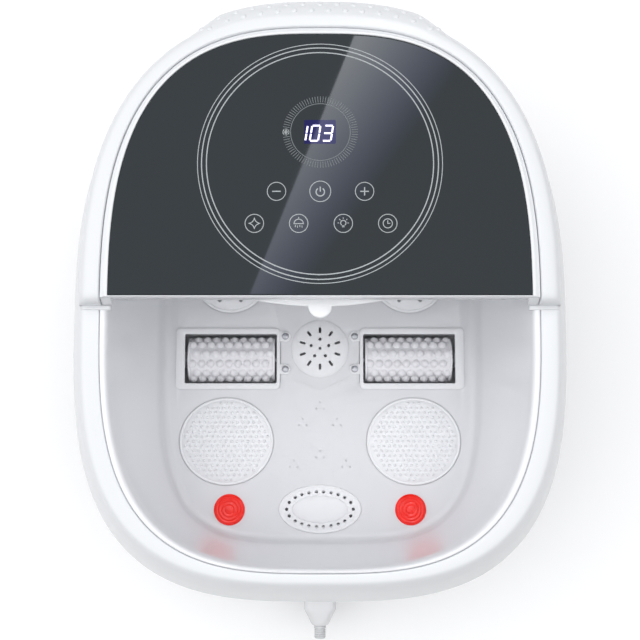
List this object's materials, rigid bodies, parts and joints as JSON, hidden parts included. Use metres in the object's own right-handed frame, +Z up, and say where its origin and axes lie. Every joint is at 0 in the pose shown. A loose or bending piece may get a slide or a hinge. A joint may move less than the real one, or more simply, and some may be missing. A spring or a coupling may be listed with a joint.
{
  "type": "foot spa basin",
  "caption": "Oval foot bath with a flared casing, a roller-massage floor, a control cover over the toe end and a drain outlet at the heel end.",
  "frame": {"origin": "on the ground under the middle of the bounding box", "axes": "+Z up; +Y towards the toe end with the control cover; -Y towards the user's heels and the drain; +X to the user's right"},
  "size_m": [0.382, 0.4872, 0.2165],
  "materials": {
    "white_gloss": "gloss white moulding",
    "tub_white": "satin gloss white moulding",
    "panel_dark": "high gloss, dark tinted",
    "white_fittings": "fine satin",
    "lamp_red": "clear red, polished",
    "rubber_dark": "moulded rubber",
    "steel": "turned",
    "board_green": "solder mask",
    "hose_clear": "soft translucent",
    "grey_plastic": "moulded",
    "brass": "cut gear"
  },
  "bodies": {
    "housing": {"outer_casing": "white_gloss", "inner_tub": "tub_white", "base_plate": "grey_plastic", "base_screw_1": "steel", "base_screw_2": "steel", "base_screw_3": "steel", "base_screw_4": "steel", "rubber_foot_front_left": "rubber_dark", "rubber_foot_front_right": "rubber_dark", "rubber_foot_rear_left": "rubber_dark", "rubber_foot_rear_right": "rubber_dark", "rear_housing": "white_gloss", "panel_tray": "white_gloss", "control_panel": "panel_dark", "touch_board": "board_green", "display_module": "grey_plastic", "mains_board": "board_green", "mains_gland": "grey_plastic", "roller_frame_left": "white_fittings", "roller_frame_right": "white_fittings", "frame_screw_1": "steel", "frame_screw_2": "steel", "frame_screw_3": "steel", "frame_screw_4": "steel", "shaft_seal_left": "rubber_dark", "shaft_seal_right": "rubber_dark", "roller_motor": "grey_plastic", "pump_volute": "grey_plastic", "pump_motor": "steel", "heater": "steel", "intake_hose": "hose_clear", "heater_hose": "hose_clear", "feed_hose": "hose_clear", "shower_elbow": "white_fittings", "shower_bracket_left": "white_fittings", "shower_bracket_right": "white_fittings", "sole_disc_left": "white_fittings", "sole_disc_right": "white_fittings", "toe_disc_left": "white_fittings", "toe_disc_right": "white_fittings", "lamp_lens_left": "lamp_red", "lamp_lens_right": "lamp_red", "lamp_board_left": "board_green", "lamp_board_right": "board_green", "drain_sump_cover": "white_fittings", "drain_tube": "hose_clear", "drain_spout": "white_fittings"},
    "rollers": {"massage_roller_left": "white_fittings", "massage_roller_right": "white_fittings", "roller_shaft": "steel", "drive_gear": "white_fittings"},
    "motor_rotor": {"motor_pinion": "brass", "motor_shaft": "steel"},
    "impeller": {"pump_impeller": "grey_plastic", "impeller_shaft": "steel"},
    "strainer": {"strainer_cap": "white_fittings"},
    "shower": {"shower_bar": "white_fittings"},
    "drain_closure": {"drain_plug": "white_fittings", "drain_seal": "rubber_dark"}
  },
  "joints": [
    {"name": "roller_spin", "type": "hinge", "parent": "housing", "child": "rollers", "pos_m": [0, -0.0085, 0.036], "axis": [1, 0, 0], "continuous": true},
    {"name": "roller_motor_spin", "type": "hinge", "parent": "housing", "child": "motor_rotor", "pos_m": [0.0288, 0.00113, 0.0245], "axis": [1, 0, 0], "continuous": true},
    {"name": "pump_spin", "type": "hinge", "parent": "housing", "child": "impeller", "pos_m": [0.018, 0.195, 0.05], "axis": [1, 0, 0], "continuous": true},
    {"name": "strainer_lift", "type": "slide", "parent": "housing", "child": "strainer", "axis": [0, 0, 1], "range_m": [0, 0.04]},
    {"name": "shower_tilt", "type": "hinge", "parent": "housing", "child": "shower", "pos_m": [0, 0.036, 0.187], "axis": [1, 0, 0], "range_deg": [-20, 20]},
    {"name": "drain_plug_pull", "type": "slide", "parent": "housing", "child": "drain_closure", "axis": [0, -1, 0], "range_m": [0, 0.02]}
  ],
  "couplings": [
    {"joint": "roller_motor_spin", "follows": "roller_spin", "ratio": -2}
  ]
}
